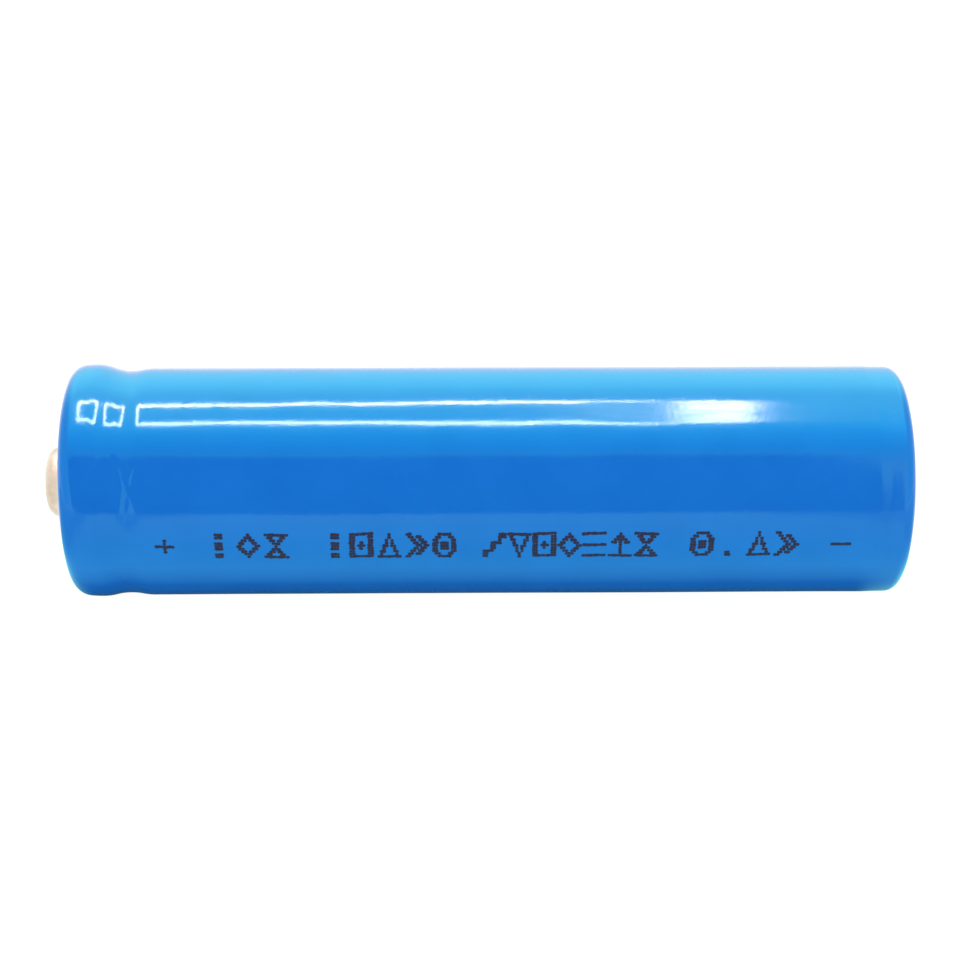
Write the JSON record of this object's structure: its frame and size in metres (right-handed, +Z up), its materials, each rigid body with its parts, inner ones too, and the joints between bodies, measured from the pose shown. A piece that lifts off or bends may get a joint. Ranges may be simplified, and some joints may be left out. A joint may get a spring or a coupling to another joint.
{
  "type": "cylindrical lithium-ion battery cell",
  "caption": "Cylindrical rechargeable cell in a glossy blue shrink sleeve, with a beaded and crimped head, a raised button at the positive end and a flat negative end.",
  "frame": {"origin": "centre of the negative contact's outer face, which the cell's length is measured from", "axes": "+X along the cell's axis, out of the negative end, with the button at -X; the cell lies on its side, +Z up, and the lead under the sleeve is on the +Y side"},
  "size_m": [0.0692, 0.019, 0.0188],
  "materials": {
    "blue_film": "glossy heat-shrunk PVC film, with black ink marks",
    "white_paper": "matt white insulating paper",
    "grey_paper": "matt grey-green fish paper",
    "nickel": "satin nickel-plated steel, slightly worn",
    "nickel_lead": "pure nickel strip, satin",
    "can_steel": "nickel-plated drawn steel, satin",
    "amber_tape": "polyimide film tape",
    "seal_plastic": "moulded polypropylene",
    "ptc": "carbon-filled polymer between foils",
    "vent_aluminium": "coined aluminium sheet",
    "separator_film": "porous polyolefin film",
    "cathode_coat": "lithium cobalt oxide coating on aluminium foil",
    "anode_coat": "graphite coating on copper foil",
    "board": "green solder mask on glass-epoxy laminate",
    "chip_plastic": "moulded black epoxy",
    "chip_resistor": "black film on alumina with tinned ends",
    "chip_capacitor": "brown ceramic with tinned ends"
  },
  "bodies": {
    "root": {"heat_shrink_sleeve": "blue_film", "cover_washer": "white_paper", "crimp_insulating_ring": "grey_paper", "button_terminal": "nickel", "positive_lead_strip": "nickel_lead", "lead_backing_tape": "amber_tape", "sealing_gasket": "seal_plastic", "vented_top_cap": "can_steel", "ptc_ring": "ptc", "burst_disc": "vent_aluminium", "cid_insulating_ring": "seal_plastic", "cid_weld_plate": "vent_aluminium", "steel_can": "can_steel", "inner_separator": "separator_film", "cathode_sheet": "cathode_coat", "outer_separator": "separator_film", "anode_sheet": "anode_coat", "winding_tape": "amber_tape", "centre_pin": "can_steel", "upper_insulating_disc": "seal_plastic", "lower_insulating_disc": "seal_plastic", "cathode_tab": "vent_aluminium", "anode_tab": "nickel_lead", "floor_pad": "grey_paper", "negative_lead_strip": "nickel_lead", "protection_board": "board", "board_ring": "seal_plastic", "protection_ic": "chip_plastic", "power_mosfet": "chip_plastic", "chip_resistors": "chip_resistor", "chip_capacitors": "chip_capacitor", "negative_contact": "nickel"}
  },
  "joints": []
}
